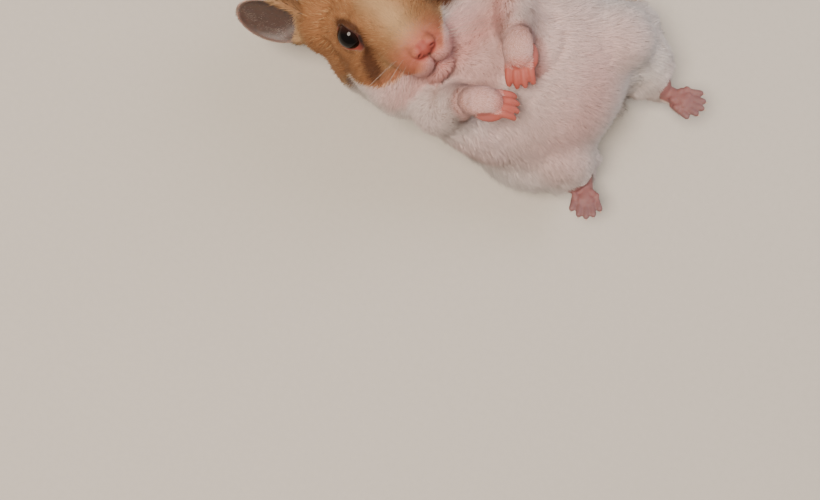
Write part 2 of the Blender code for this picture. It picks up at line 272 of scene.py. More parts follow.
def lid_rim(a):
    """How far the rim of the lids is from the eye's aim in degrees, at an angle a round it in radians from
    the front corner: an almond, longer from the front corner to the back one than across."""
    return LID_OPENING + 12 * np.cos(2 * a) + 3 * np.maximum(np.cos(a), 0) ** 12


def eye_axes(side):
    """Axes of an eye: z along its aim, and x square to it, towards the front corner of the lids."""
    z = unit(mirrored(EYE_AIM, side) @ head_axes)
    x = np.array([0.81, 0.0, -0.59]) @ head_axes
    x = unit(x - z * (x @ z))
    return np.array([x, np.cross(z, x), z])


def lids(side):
    """The two eyelids as one thick shell round the eyeball, in mm from its middle with z along the eye's
    aim: its section runs from the rim back over the ball, and the opening widens to a corner at the front
    and at the back."""
    a = np.arange(48) / 48 * 2 * np.pi
    rim = lid_rim(a if side == "left" else -a)
    section = [  # degrees back from the rim, and mm off the ball
        (0, 0.03), (0, 0.2), (3, 0.36), (8, 0.48), (18, 0.55),
        (34, 0.5), (48, 0.2), (48, -0.5), (24, -0.3), (6, -0.06),
    ]
    turn, lift = np.array(section, float).T
    angle = np.radians(rim[None] + turn[:, None])
    reach = (EYE_RADIUS + lift)[:, None]
    across = reach * np.sin(angle)
    loop = np.stack([across * np.cos(a), across * np.sin(a), reach * np.cos(angle)], -1)
    count, around = loop.shape[:2]
    i, j = np.meshgrid(np.arange(count), np.arange(around), indexing="ij")
    p, q = i * around + j, i * around + (j + 1) % around
    r, t = (i + 1) % count * around + j, (i + 1) % count * around + (j + 1) % around
    triangles = np.concatenate([np.stack([p, t, q], -1), np.stack([p, r, t], -1)]).reshape(-1, 3)
    return placed((loop.reshape(-1, 3), triangles), eye_middle[side], eye_axes(side))


def near_limb(points, which):
    """How far along a limb each point is, from 0 at the elbow or knee to 1 at the wrist or ankle, and how
    many mm it is from the line between them."""
    start, end = np.array(LIMBS[which]) * MM
    share = np.clip((points - start) @ (end - start) / ((end - start) @ (end - start)), 0, 1)
    return share, np.linalg.norm(points - start - share[:, None] * (end - start), axis=1) / MM


def coat_depth(points):
    """The depth of the coat in mm. It grows with the distance from the nose, and from wrist and ankle up the
    limbs. It is thin round the eyes, and pressed flat where the animal lies on it."""
    from_nose = np.linalg.norm(in_head(points), axis=1)
    depth = 0.3 + 0.92 * ease(1.5, 14, from_nose) + 1.15 * ease(14, 40, from_nose)
    for which in LIMBS:
        share, gap = near_limb(points, which)
        depth = np.minimum(depth, 0.8 + 2.0 * (1 - share) + 2.0 * ease(7, 12, gap))
    for side in SIDES:
        from_eye = np.linalg.norm(points - eye_middle[side], axis=1) / MM
        depth = np.minimum(depth, 0.4 + 2.3 * ease(3.6, 11, from_eye))
    return depth * (0.45 + 0.55 * ease(0.5, 7, points[:, 2] / MM))


def at_paw(shape, place, up):
    """A shape in mm from a wrist or ankle, moved to its place: x along the digits, z out of the side up."""
    return placed(shape, np.array(place["at"]) * MM, axes_of(place["aim"], place[up]))


def fingers():
    """The paths of a hand's four digits in mm: straight out to the knuckle, then bent down over the palm."""
    paths = []
    for place in (-1.5, -0.5, 0.5, 1.5):
        turn = math.radians(3 * place)
        along = np.array([math.cos(turn), math.sin(turn), 0])
        root = np.array([6.2 - 0.3 * place**2, 1.5 * place, -0.6])
        knuckle = root + along * 2.5 + [0, 0, -0.2]
        last = knuckle + along * 1.2 + [0, 0, -0.75]
        paths.append([root - along * 2.5, root, knuckle, last, last + along * 0.5 + [0, 0, -0.55]])
    return paths


def forepaw(side):
    """Back of the hand, palm with its pads, and four digits, in mm from the wrist with the back on top."""
    parts = [
        ball((2.4, 0, -0.1), (4.7, 3.25, 2.5)),
        ball((4.3, 0.9 * SIDES[side], -1.5), (3.8, 3.1, 1.5)),
        ball((3.0, -1.5, -2.2), (1.6, 1.3, 1.1)),
        ball((3.0, 1.5, -2.2), (1.6, 1.3, 1.1)),
    ]
    for path in fingers():
        pad = ball(path[1] + [-0.6, 0, -1.25], (0.85, 0.72, 0.6))
        parts += [limb(path, [0.9, 0.88, 0.8, 0.72, 0.6]), pad]
    return [at_paw(part, HANDS[side], "back") for part in parts]


def toes():
    """The paths of the five toes of a hind foot in mm, spread like a fan and a little bent."""
    paths = []
    for place in (-2, -1, 0, 1, 2):
        turn = math.radians(8 * place)
        along = np.array([math.cos(turn), math.sin(turn), 0.1])
        reach = 3.1 - 0.15 * place**2
        root = np.array([6.9 - 0.35 * place**2, 1.3 * place, 0])
        joint = root + along * reach * 0.55 + [0, 0, 0.12]
        paths.append([root - along * 2, root, joint, root + along * reach])
    return paths


def hind_foot(side):
    """Heel, sole with its pads, and five toes, in mm from the ankle with the sole on top."""
    parts = [
        limb([(-2.5, 0, -0.9), (1, 0, -0.6), (5.6, 0, -0.1)], [2.3, 2.1, 1.9]),
        ball((5.5, 0, -0.1), (2.8, 3.0, 1.5)),
        ball((3.2, -1.3, 1.1), (1.0, 0.8, 0.6)),
        ball((3.8, 1.4, 1.1), (0.9, 0.8, 0.6)),
    ]
    for path in toes():
        pad = ball(path[1] + [-0.7, 0, 0.95], (0.9, 0.75, 0.6))
        parts += [limb(path, [0.85, 0.86, 0.76, 0.76]), pad]
    return [at_paw(part, FEET[side], "sole") for part in parts]


folds = [  # mm, loose skin: from the left shank to the belly and to the flank, and behind the right elbow
    limb([(26.7, 1.5, 17), (34.2, 5.8, 13.6), (40.4, 8.6, 11.8)], [6.5, 4.8, 3.4]),
    limb([(30, 16, 15), (35.6, 13.2, 13.6), (39.6, 10.6, 12.6), (43.2, 8.6, 11.8)], [8.5, 6.6, 4.6, 3.2]),
    limb([(-4, -19.5, 25), (4.5, -21.5, 25.5), (11, -21.5, 22)], [6.0, 6.2, 6.0]),
]
solids = [cad_copy(node) for node in FURRED_NODES + ["eye_right", "eye_left"]]
flesh = solid("flesh", *joined(*solids, *[placed(fold, np.zeros(3), np.eye(3)) for fold in folds]))
points, normals, triangles = read(flesh.data)
points = points + normals * swelling(points)[:, None] * MM
flesh.data.vertices.foreach_set("co", points.astype(np.float32).ravel())
flesh = worked(
    flesh,
    ("REMESH", {"mode": "VOXEL", "voxel_size": FLESH_GRAIN * MM}),
    ("SMOOTH", {"factor": 0.5, "iterations": 7}),
)
points, normals, triangles = read(flesh.data)
bpy.data.objects.remove(flesh)
points = points - normals * ((coat_depth(points) + swelling(points)) * MM)[:, None]
face = [  # mm in the head's frame: the wings and the middle of the nose, the upper lips and the chin
    ball((-1.2, 1.35, -0.6), (1.5, 1.5, 1.45)), ball((-1.2, -1.35, -0.6), (1.5, 1.5, 1.45)),
    ball((-1.1, 0, -1.1), (1.4, 1.1, 1.6)),
    ball((-4.0, 2.3, -3.8), (3.0, 2.6, 2.5)), ball((-4.0, -2.3, -3.8), (3.0, 2.6, 2.5)),
    ball((-7.0, 0, -8.7), (2.7, 2.8, 1.4)),
]
tail = limb([(13, 0, -8), (17, -0.3, -10.5), (22.0, -1.0, -13.2)], [2.1, 1.7, 0.85])  # in the trunk's frame
body = joined(
    (points, triangles),
    *[placed(part, nose, head_axes) for part in face],
    *[part for side in SIDES for part in [*forepaw(side), *hind_foot(side), lids(side)]],
    placed(tail, trunk_at, trunk_axes),
)
skin = worked(
    solid("skin", *body),
    ("REMESH", {"mode": "VOXEL", "voxel_size": SKIN_GRAIN * MM}),
    ("SMOOTH", {"factor": 0.5, "iterations": 2}),
)


def mouth_line(l):
    """Height in the head's frame of the slit between the lips: it dips on either side of the middle."""
    return -6.5 - 1.9 * ease(0.5, 5.4, np.abs(l))


def shut(l):
    """How open the slit of the mouth is along it: the lips press together on the right, under the cheek."""
    return 1 - 0.75 * ease(0.6, 2.2, -l)


def creases(points):
    """Depth in mm of the creases of the face: the slit of the mouth, the groove up from it to the nose, the
    two nostrils with a slit behind each, and the fold at each side of the nose."""
    f, l, u = in_head(points).T
    side = np.abs(l)
    front = ease(-9.5, -7.5, f)
    mouth = 1.2 * hump(u, mouth_line(l), 0.42) * (1 - ease(5.0, 6.6, side)) * front * shut(l)
    groove = 0.38 * hump(l, 0, 0.26) * ease(-6.4, -5.8, u) * (1 - ease(-2.6, -1.6, u)) * front
    out, over = side - 1.75, u + 1.2
    round_hole = (out / 0.5) ** 2 + ((over + 0.35 * out) / 0.3) ** 2
    nostril = 0.8 * np.exp(-(round_hole**1.5)) * ease(-2.4, -1.4, f)
    fold = 0.4 * hump(f, -2.4, 0.35) * hump(side, 2.6, 1.2) * (1 - ease(1.5, 2.6, np.abs(u + 0.7)))
    return mouth, groove, nostril, fold


points, normals, triangles = read(skin.data)
mouth, groove, nostril, fold = creases(points)
push = -normals * np.maximum(mouth, np.maximum(groove, fold))[:, None] - head_axes[0] * nostril[:, None]
skin.data.vertices.foreach_set("co", (points + push * MM).astype(np.float32).ravel())
skin = worked(skin, ("DECIMATE", {"ratio": min(1, SKIN_TRIANGLES / len(triangles))}))
skin.data.shade_smooth()
skin_points, skin_normals, skin_triangles = read(skin.data)


def ripple(points, size, seed):
    """A slow swell between about -1 and 1: twice the mean of eight sine waves in chance directions, each
    about this many mm long."""
    chance = np.random.default_rng(seed)
    waves = unit(chance.normal(size=(8, 3))) * 2 * np.pi / (size * MM * chance.uniform(0.7, 1.5, (8, 1)))
    return 2 * np.sin(points @ waves.T + chance.uniform(0, 6.3, 8)).mean(1)


def in_paw(points, place, up):
    """Points in mm from a wrist or ankle: along the digits, across them, and out of the back or sole."""
    return (points - np.array(place["at"]) * MM) @ axes_of(place["aim"], place[up]).T / MM


def round_eye(points, side):
    """For each point how many mm it is from an eye's middle, how many degrees outside the lids' rim, how near
    the front corner (0 to 1), and how far up the lids (-1 on the lower, 1 on the upper)."""
    x, y, z = ((points - eye_middle[side]) @ eye_axes(side).T / MM).T
    reach = np.sqrt(x**2 + y**2 + z**2)
    a = np.arctan2(y, x)
    turn = np.degrees(np.arccos(np.clip(z / reach, -1, 1))) - lid_rim(a)
    return reach, turn, np.maximum(np.cos(a), 0) ** 8, -np.sin(a) * SIDES[side]


def bareness(points):
    """1 where the skin is bare: the nose pad, the edges of lips and lids, the digits, palms and soles."""
    f, l, u = in_head(points).T
    from_tip = np.sqrt((f + 1.1) ** 2 + (0.74 * l) ** 2 + (u + 1.2) ** 2)
    nose_pad = (1 - ease(1.7, 2.5, from_tip)) * ease(-2.6, -1.9, f)
    mouth = hump(u, mouth_line(l), 0.5) * (1 - ease(4.4, 6.0, np.abs(l))) * ease(-9.5, -7.5, f) * shut(l)
    bare = np.maximum(nose_pad, mouth)
    for side in SIDES:
        reach, turn, corner, _ = round_eye(points, side)
        on_lid = 1 - ease(EYE_RADIUS + 0.8, EYE_RADIUS + 1.6, reach)
        bare = np.maximum(bare, (1 - ease(1 + 6 * corner, 4 + 13 * corner, turn)) * on_lid)
        x, y, z = in_paw(points, HANDS[side], "back").T
        close = 1 - ease(6.8, 7.4, np.linalg.norm([x - 5, y, z], axis=0))
        digits = ease(5.8, 7.6, x + 0.5 * ripple(points, 1.6, 6))
        outer_edge = ease(2.3, 3.1, y * SIDES[side]) * (1 - ease(0.2, 1.0, z))
        palm = ease(0.5, 2.5, x) * np.maximum(1 - ease(-1.5, -0.7, z), outer_edge)
        bare = np.maximum(bare, close * np.maximum(digits, palm))
        x, y, z = in_paw(points, FEET[side], "sole").T
        close = (1 - ease(5, 6, np.abs(y))) * (1 - ease(12, 13, np.abs(x))) * (1 - ease(3.5, 4.5, np.abs(z)))
        sole = ease(-1.5, 0.5, x) * ease(-0.5, 0.3, z)
        bare = np.maximum(bare, close * np.maximum(ease(6.0, 7.6, x), sole))
    return bare


def from_skull(points):
    """How many mm each point is from the middle of the head."""
    return np.linalg.norm(in_head(points) - [HEAD_MIDDLE, 0, 0], axis=1)


def markings(points):
    """The animal's pattern as four shares at each point: golden, dark, pink and bare.

    The top of the head is golden down to a line across the cheeks that rises towards the back, with a cream
    blaze on the bridge, a pale muzzle, and a dark streak from the front corner of each eye. The shoulders
    and the rump are golden across the back, with a white band between them. The breast, belly and legs are
    white, and pink shows through where the hair is thin."""
    f, l, u = in_head(points).T
    x, y, z = in_trunk(points).T
    on_head = 1 - ease(21, 29, from_skull(points))
    side = np.abs(l)
    wave = ripple(points, 6, 1) + 0.5 * ripple(points, 2.4, 2)

    # Golden: the crown down to its line, paler on the bridge and the muzzle, then the shoulders and the rump.
    raised = np.maximum(ease(-8, -4, f), 3.6 * ease(1.5, 5, l)) * (1 - ease(9, 12.5, side))
    line = -4.6 + 1.4 * ease(9, 12.5, side) + 1.8 * ease(12.3, 14.5, side) - 2.5 * ease(19, 27, -f) + raised
    crown = ease(-0.8, 0.8, u - line + 0.7 * wave)
    crown *= 1 - (1 - ease(1.0, 4.2, side)) * (1 - ease(-3.6, -2.0, u)) * ease(-6, -3, f)
    blaze = hump(l, -0.5, 3.2) * ease(-26, -14, f) * ease(-3, 1, u)
    crown *= 1 - 0.30 * blaze
    crown *= 1 - 0.25 * hump(f, -8.5, 3.0) * hump(u, -2.0, 2.5)
    crown *= 1 - 0.35 * hump(f, -24, 2.0) * hump(u, -2.6, 1.3)
    shoulders = ease(-1.2, 1.2, -z - 5.5 + wave) * (1 - ease(-13.5, -10.5, x + wave))
    rump = ease(-1.2, 1.2, -z - 8.5 + wave) * ease(4.5, 7.5, x + wave) * (1 - ease(14, 18, x - wave))
    golden = on_head * crown + (1 - on_head) * np.maximum(shoulders, rump)

    # Dark: the streak from the eye, the cheek behind it, a spot before the ear and the rim of the upper lid.
    # The spot lies on the right side only and is partly a dark cheek flash and partly painted shadow along
    # the cheek's lower edge.
    streak = hump(f + 0.15 * u, -12.8, 2.7) * hump(side + 0.27 * u, 9.4, 2.1)
    streak = streak * ease(-4.2, -1.4, u + 0.4 * wave) * (1 - ease(6.0, 8.0, u))
    cheek = 0.55 * hump(f, -19, 4.5) * hump(u, -0.2, 3.0) * ease(6, 9, side)
    # Partly painted shadow: the spot darkens the lower edge of the right cheek only.
    spot = 0.9 * hump(f, -22.0, 3.5) * hump(u, -2.8, 2.0) * ease(12.5, 14, -l)
    cheek = cheek * crown
    rim = np.zeros_like(f)
    for eye in SIDES:
        reach, turn, corner, upper = round_eye(points, eye)
        above = np.maximum(ease(-0.25, 0.35, upper), 0.25) * (1 - corner)
        rim = np.maximum(rim, above * (1 - ease(4.0, 5.2, reach)) * (1 - ease(14, 30, turn)))
    dark = np.clip(np.maximum(np.maximum(1.3 * streak, cheek), np.maximum(spot, 0.95 * rim)), 0, 1) * on_head

    # Pink: the belly, the nose and lips, the throat, and the limbs out to their bare paws.
    belly = ease(2, 14, z) * (1 - ease(20, 26, np.abs(x))) * (1 - on_head)
    flush = (1 - ease(2.4, 6.6, np.sqrt((0.75 * l) ** 2 + (u + 1.8) ** 2))) * ease(-9, -5, f)
    throat = 0.95 * ease(-19, -6, f) * (1 - ease(-4, -1, u)) * on_head
    throat = throat * (1 - ease(9.5, 12.5, -u) * (0.75 - 0.45 * ease(-7, 3, l)))
    pink = 0.4 * belly + 0.3 * hump(x, 15, 9) * belly
    pink = np.maximum(np.maximum(pink, throat), flush)
    for which in LIMBS:
        share, gap = near_limb(points, which)
        near = 1 - ease(5, 9, gap)
        if "fore" in which:
            pink = np.maximum(pink, (0.08 + 0.6 * ease(0.7, 1, share)) * near)
        else:
            pink = pink * (1 - near * share) + (0.42 - 0.25 * share) * near * share
    for side in SIDES:
        x, y, z = in_paw(points, HANDS[side], "back").T
        near = 1 - ease(8, 11, np.linalg.norm([x - 4, y, z], axis=0))
        pink = np.maximum(pink, near * (0.68 * ease(-3.5, -1, x) + 0.32 * ease(4, 6.5, x)))
    return np.clip(np.stack([golden, dark, pink, bareness(points)], -1), 0, 1)


def marked(mesh, name, values):
    """Stores a number at each of the mesh's points, as the attribute of this name."""
    layer = mesh.attributes.new(name, "FLOAT", "POINT")
    layer.data.foreach_set("value", values.astype(np.float32))


def painted(mesh, shares):
    """Stores the pattern's four shares at each of the mesh's points, as the colour attribute "marking"."""
    layer = mesh.color_attributes.new("marking", "FLOAT_COLOR", "POINT")
    layer.data.foreach_set("color", shares.astype(np.float32).ravel())


def linear(code):
    """An sRGB hex colour as linear red, green, blue and alpha."""
    channels = [int(code[i : i + 2], 16) / 255 for i in (1, 3, 5)]
    return [c / 12.92 if c <= 0.04045 else ((c + 0.055) / 1.055) ** 2.4 for c in channels] + [1.0]


def material(name):
    """A new material with its shader, and a function that adds a node: its type, its settings, and its
    inputs by name, or by number as i6, where a value is set and another node's output is linked. It sets
    the shader too. A Mix node of colours goes by its input 0 from the colour at 6 to the one at 7."""
    made = bpy.data.materials.new(name)
    made.use_nodes = True
    tree = made.node_tree
    shader = tree.nodes["Principled BSDF"]

    def add(kind, settings=None, **inputs):
        node = kind if isinstance(kind, bpy.types.Node) else tree.nodes.new("ShaderNode" + kind)
        for key, value in (settings or {}).items():
            setattr(node, key, value)
        for key, value in inputs.items():
            by_number = key[0] == "i" and key[1:].isdigit()
            socket = node.inputs[int(key[1:]) if by_number else key.replace("_", " ")]
            if isinstance(value, bpy.types.NodeSocket):
                tree.links.new(value, socket)
            else:
                socket.default_value = value
        return node

    return made, shader, add


COLOURS = {"data_type": "RGBA"}  # what a Mix node mixes

# Hide: thin, living skin. Where it is bare it is pink from the blood in it, soft, and finely creased. The
# creases and the grain are a tenth of a mm apart on the animal, and two to four times that here, to show.
hide, shader, add = material("bare_pink_hide")
place = add("TexCoord").outputs["Object"]
share = add("SeparateColor", Color=add("Attribute", {"attribute_name": "marking"}).outputs["Color"])
bare = add("Attribute", {"attribute_name": "marking"}).outputs["Alpha"]
crease = add("Attribute", {"attribute_name": "crease"}).outputs["Fac"]
patches = add("TexNoise", Vector=place, Scale=1 / (2.2 * MM), Detail=3.0).outputs["Fac"]
grain = add("TexNoise", Vector=place, Scale=1 / (0.22 * MM), Detail=2.0).outputs["Fac"]
cells = add("TexVoronoi", {"feature": "DISTANCE_TO_EDGE"}, Vector=place, Scale=1 / (0.38 * MM))
under = add("Mix", COLOURS, i0=share.outputs["Red"], i6=linear("#CDBFB4"), i7=linear("#8E7258")).outputs[2]
under = add("Mix", COLOURS, i0=share.outputs["Blue"], i6=under, i7=linear("#B0685A")).outputs[2]
under = add("Mix", COLOURS, i0=share.outputs["Green"], i6=under, i7=linear("#5A4132")).outputs[2]
rosy = add("Mix", COLOURS, i0=patches, i6=linear("#9E4C40"), i7=linear("#B4655A")).outputs[2]
mauve = add("Mix", COLOURS, i0=patches, i6=linear("#775253"), i7=linear("#8B6865")).outputs[2]
pink = add("Mix", COLOURS, i0=share.outputs["Blue"], i6=mauve, i7=rosy).outputs[2]
pink = add("Mix", COLOURS, i0=share.outputs["Red"], i6=pink, i7=linear("#8E4237")).outputs[2]
pink = add("Mix", COLOURS, i0=share.outputs["Green"], i6=pink, i7=linear("#2C1914")).outputs[2]
colour = add("Mix", COLOURS, i0=bare, i6=under, i7=pink).outputs[2]
# Painted shade: the slit of the mouth, the nostrils and the groove under the nose are darkened to a deep red
# brown, as the shade that falls into them.
colour = add("Mix", COLOURS, i0=crease, i6=colour, i7=linear("#5B2A26")).outputs[2]
add(shader, Base_Color=colour, Roughness=0.58, Specular_IOR_Level=0.3)
add(shader, Subsurface_Weight=0.12, Subsurface_Scale=0.6 * MM)
height = add("Math", {"operation": "MULTIPLY_ADD"}, i0=cells.outputs["Distance"], i1=0.6, i2=grain).outputs[0]
add(shader, Normal=add("Bump", Strength=0.35, Distance=0.08 * MM, Height=height).outputs["Normal"])
painted(skin.data, markings(skin_points))
# The painted shade in the mouth's slit, the nostrils and the groove follows the depth of these creases.
mouth, groove, nostril, fold = creases(skin_points)
painted_crease_shade = np.maximum(nostril * 0.6, np.maximum(mouth * 0.85, groove * 0.5))
marked(skin.data, "crease", np.clip(painted_crease_shade, 0, 1))
skin.data.materials.append(hide)
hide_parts(*FURRED_NODES, "forepaw_right", "forepaw_left", "hind_foot_right", "hind_foot_left", "tail")
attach(skin, "root")


# ---- Ears ----
# Each ear is a thin upright leaf of skin and gristle, cupped forwards and outwards and folded together at
# its root. It is so thin that light passes through it, brownish grey inside, with a pale rim. Its root is
# painted darker with the shade where the ear opens.
EAR_ROOT, EAR_TIP = np.array([-31.7, 10.9, 9.2]), np.array([-35.7, 25.8, 23.6])  # left ear, head's frame
EAR_WIDTH, EAR_CUP, EAR_WALL = 12.8, 3.4, 0.55  # mm
EAR_TURN = math.radians(32)  # outwards from facing ahead
EAR_RINGS, EAR_SPOKES = 22, 72


def ear_leaf(side, r, a):
    """Points in the head's frame of an ear, at radius r and angle a of a disc: a rounded leaf, widest beyond
    its middle, bent into a cup by the square of its way across, with its edge rolled in near the root."""
    root, tip = mirrored(EAR_ROOT, side), mirrored(EAR_TIP, side)
    length, up = np.linalg.norm(tip - root), unit(tip - root)
    hollow = unit(np.array([1, 0, 0]) - up * up[0])
    turn = EAR_TURN * SIDES[side]
    hollow = hollow * math.cos(turn) + np.cross(up, hollow) * math.sin(turn)
    across = np.cross(hollow, up)
    along, wide = r * np.sin(a), r * np.cos(a)
    spread = EAR_WIDTH / 2 * (1.0 + 0.16 * along - 0.22 * (1 - along) * (along < 0) * np.abs(along))
    rolled = 1.3 * hump(along, -0.62, 0.3) * np.abs(wide) ** 3 * 3
    ridge = 0.16 * np.sin(5.5 * wide + 0.6) * (1 - r**4) + 0.25 * hump(r, 0.93, 0.05)
    cup = EAR_CUP * (wide**2 - 0.35) * (1 - 0.35 * along) + rolled + ridge
    points = root + ((along + 1) / 2 * length)[..., None] * up
    return points + (wide * spread)[..., None] * across + cup[..., None] * hollow


def ear(side):
    """The leaf as two sheets a wall apart that meet round the edge, where the wall thins to a third."""
    out, turn = np.arange(1, EAR_RINGS + 1) / EAR_RINGS, np.arange(EAR_SPOKES) / EAR_SPOKES * 2 * np.pi
    r, a = np.meshgrid(out, turn, indexing="ij")
    sheet = ear_leaf(side, r, a)
    ahead = ear_leaf(side, r, a + 0.01) - sheet
    outward = ear_leaf(side, r * 0.99, a) - sheet
    edge = np.sqrt(np.maximum(1 - r**40, 0.0))
    wall = EAR_WALL * (1 - 0.66 * r**3) / 2 * edge * (1.5 - 0.5 * r * np.sin(a))
    normal = unit(np.cross(ahead, outward)) * wall[..., None]
    loops = np.concatenate([sheet + normal, (sheet - normal)[-2::-1]])
    middle_point = ear_leaf(side, np.zeros(1), np.zeros(1))[0]
    centre_normal = unit(normal[0].mean(0)) * EAR_WALL * 0.7
    points, triangles = rings_closed(loops, middle_point + centre_normal, middle_point - centre_normal)
    return placed((points, triangles[:, ::-1]), nose, head_axes)


# Ear skin: as thin as paper and nearly bare, greyish brown and mottled with veins. A little light glows
# through it, and the very edge is pale. Towards the root it is painted darker and redder: painted shade where
# the ear opens. Its grain is drawn coarser than it is, to show.
ear_hide, shader, add = material("thin_ear_skin")
place = add("TexCoord").outputs["Object"]
veins = add("TexNoise", Vector=place, Scale=1 / (1.6 * MM), Detail=4.0, Distortion=1.2)
grain = add("TexNoise", Vector=place, Scale=1 / (0.16 * MM), Detail=2.0).outputs["Fac"]
rim = add("Attribute", {"attribute_name": "rim"}).outputs["Fac"]
inside = add("Attribute", {"attribute_name": "inside"}).outputs["Fac"]
tone = add("Mix", COLOURS, i0=veins.outputs["Fac"], i6=linear("#41302A"), i7=linear("#5C463D")).outputs[2]
# Painted shade: darker and redder towards the ear's root, where it opens.
tone = add("Mix", COLOURS, i0=inside, i6=tone, i7=linear("#4A1F1C")).outputs[2]
tone = add("Mix", COLOURS, i0=rim, i6=tone, i7=linear("#D9BCAC")).outputs[2]
add(shader, Base_Color=tone, Roughness=0.5, Subsurface_Weight=0.35, Subsurface_Scale=1.0 * MM)
add(shader, Normal=add("Bump", Strength=0.3, Distance=0.06 * MM, Height=grain).outputs["Normal"])
ears = {}
from_middle = np.concatenate([np.arange(1, EAR_RINGS + 1), np.arange(EAR_RINGS - 1, 0, -1)]) / EAR_RINGS
from_middle = np.concatenate([np.repeat(from_middle, EAR_SPOKES), [0, 0]])
for side in SIDES:
    shape = ear(side)
    piece = solid(f"ear_skin_{side}", *shape)
    from_root = np.linalg.norm(in_head(shape[0]) - mirrored(EAR_ROOT, side), axis=1)
    marked(piece.data, "rim", ease(0.945, 0.99, from_middle))
    # The painted shade of the ear's opening fades out between 2.5 and 8 mm from the root.
    marked(piece.data, "inside", 1 - ease(2.5, 8.0, from_root))
    piece.data.materials.append(ear_hide)
    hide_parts(f"ear_{side}")
    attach(piece, "root")
    ears[side] = piece


# ---- Coat ----
# The coat is soft, dense fur of fine hairs that grow slanting from the skin and lie back along the body.
# They cling together in thin pointed tufts, long on the trunk, short on the face and tiny on the paws. A
# hair of about 0.02 mm is too fine to show, so each tuft is one solid spike that stands for some ten.
TUFT_WIDTH = 0.22  # mm across the widest part on the trunk
LENGTH_PER_DEPTH = 1.75  # of a tuft, to the depth of the coat
LOCK_SIZE, LOCK_PULL = 1.3, 0.28  # mm across a lock, and how far its tufts' tips draw together
COAT_LIMIT = 33000  # tufts in one piece of coat


def lie(points, normals):
    """Which way the hair lies at each point: away from the nose on the head, from the breast to the rump
    and a little outwards on the trunk, and down each limb to the paw, turned a little by a slow ripple."""
    y = in_trunk(points)[:, 1]
    away = unit(points - (nose + 1.5 * MM * head_axes[0]))
    back = unit(np.stack([np.ones_like(y), 0.028 * y, np.full_like(y, -0.18)], -1)) @ trunk_axes
    on_head = (1 - ease(19, 27, from_skull(points)))[:, None]
    way = away * on_head + back * (1 - on_head)
    for which, (start, end) in LIMBS.items():
        along = unit(np.array(end) - np.array(start))
        share, gap = near_limb(points, which)
        near = ((1 - ease(3.5, 8.0, gap)) * ease(0.1, 0.7, share))[:, None]
        way = way * (1 - near) + along * near
    for side in SIDES:
        from_eye = points - eye_middle[side]
        reach = np.linalg.norm(from_eye, axis=1, keepdims=True)
        way = way + 1.3 * from_eye / reach * (1 - ease(4.0, 7.0, reach / MM))
    way = unit(way - normals * (way * normals).sum(1, keepdims=True))
    turn = (0.35 * ripple(points, 9, 3) + 0.30 * ripple(points, 3.0, 4))[:, None]
    return unit(way * np.cos(turn) + np.cross(normals, way) * np.sin(turn))


def rooted(points, normals, triangles, density, seed):
    """Places where tufts grow, spread over the triangles by area and density in tufts to the square mm: the
    running sum of the tufts due is cut into equal steps, with one tuft at a chance place in each."""
    chance = np.random.default_rng(seed)
    corners = points[triangles]
    area = np.linalg.norm(np.cross(corners[:, 1] - corners[:, 0], corners[:, 2] - corners[:, 0]), axis=1) / 2
    due = np.cumsum(area / MM**2 * density(corners.mean(1)))
    count = int(due[-1])
    pick = np.searchsorted(due, (np.arange(count) + chance.random(count)).clip(0, due[-1] * 0.999999))
    a, b = chance.random((2, len(pick)))
    a, b = np.where(a + b > 1, 1 - a, a), np.where(a + b > 1, 1 - b, b)
    share = np.stack([1 - a - b, a, b], -1)[:, :, None]
    return (corners[pick] * share).sum(1), unit((normals[triangles[pick]] * share).sum(1))


def gathered(roots, tips, seed):
    """Tufts draw together into locks: each tip moves part of the way to the mean place of its neighbours'
    tips. Neighbours share a cell of a grid, whose walls are bent and ragged."""
    chance = np.random.default_rng(seed)
    bend = 1.2 * np.stack([ripple(roots, 7, seed + i) for i in range(3)], -1)
    bend = bend + chance.normal(0, 0.16 * LOCK_SIZE, roots.shape)
    cell = np.floor((roots / MM + bend) / LOCK_SIZE).astype(np.int64)
    _, which = np.unique(cell @ np.array([1, 4096, 16777216]), return_inverse=True)
    which = which.ravel()
    count = np.bincount(which)[:, None]
    middle_tip = np.stack([np.bincount(which, weights=tips[:, i]) for i in range(3)], -1) / count
    return tips + (middle_tip[which] - tips) * LOCK_PULL


def tufts(roots, normals, way, length, width, rise, seed):
    """Closed pointed tufts as arrays. A tuft starts in the skin, climbs at the first angle to a ring of
    three points at 45% of its length, where it is widest, and ends in a point, climbing at the lower second
    angle. The ring's points stand at 90, 210 and 330 degrees, and it is flatter than it is wide."""
    chance = np.random.default_rng(seed)
    count = len(roots)
    length = (length * chance.uniform(0.8, 1.18, count) * MM)[:, None]
    stray = chance.normal(0, 1, (count, 2)) * [[0.24, 0.14]]
    sideways = np.cross(normals, way)
    way = unit(way * np.cos(stray[:, :1]) + sideways * np.sin(stray[:, :1]))
    first, second = rise[:, :1] + stray[:, 1:], rise[:, 1:] + stray[:, 1:]
    root = roots - normals * 0.12 * MM
    ring_at = root + 0.45 * length * (way * np.cos(first) + normals * np.sin(first))
    tip = ring_at + 0.55 * length * (way * np.cos(second) + normals * np.sin(second))
    moved = gathered(roots, tip, seed)
    ring_at = ring_at + (moved - tip) * 0.3
    along = unit(moved - root)
    over = unit(normals - along * (along * normals).sum(1, keepdims=True))
    across = np.cross(over, along)
    width = (width * chance.uniform(0.8, 1.2, count) * MM / 2)[:, None, None]
    turn = np.radians([90, 210, 330])[None, :, None]
    ring = across[:, None] * np.cos(turn) + over[:, None] * np.sin(turn) * 0.55
    points = np.concatenate([root[:, None], ring_at[:, None] + ring * width, moved[:, None]], 1)
    points[:, :, 2] = np.maximum(points[:, :, 2], 0.03 * MM)
    tilt = np.concatenate([-along[:, None], unit(ring), 0.6 * along[:, None]], 1)
    shade = unit(normals[:, None] + 0.45 * tilt)
    return points, shade


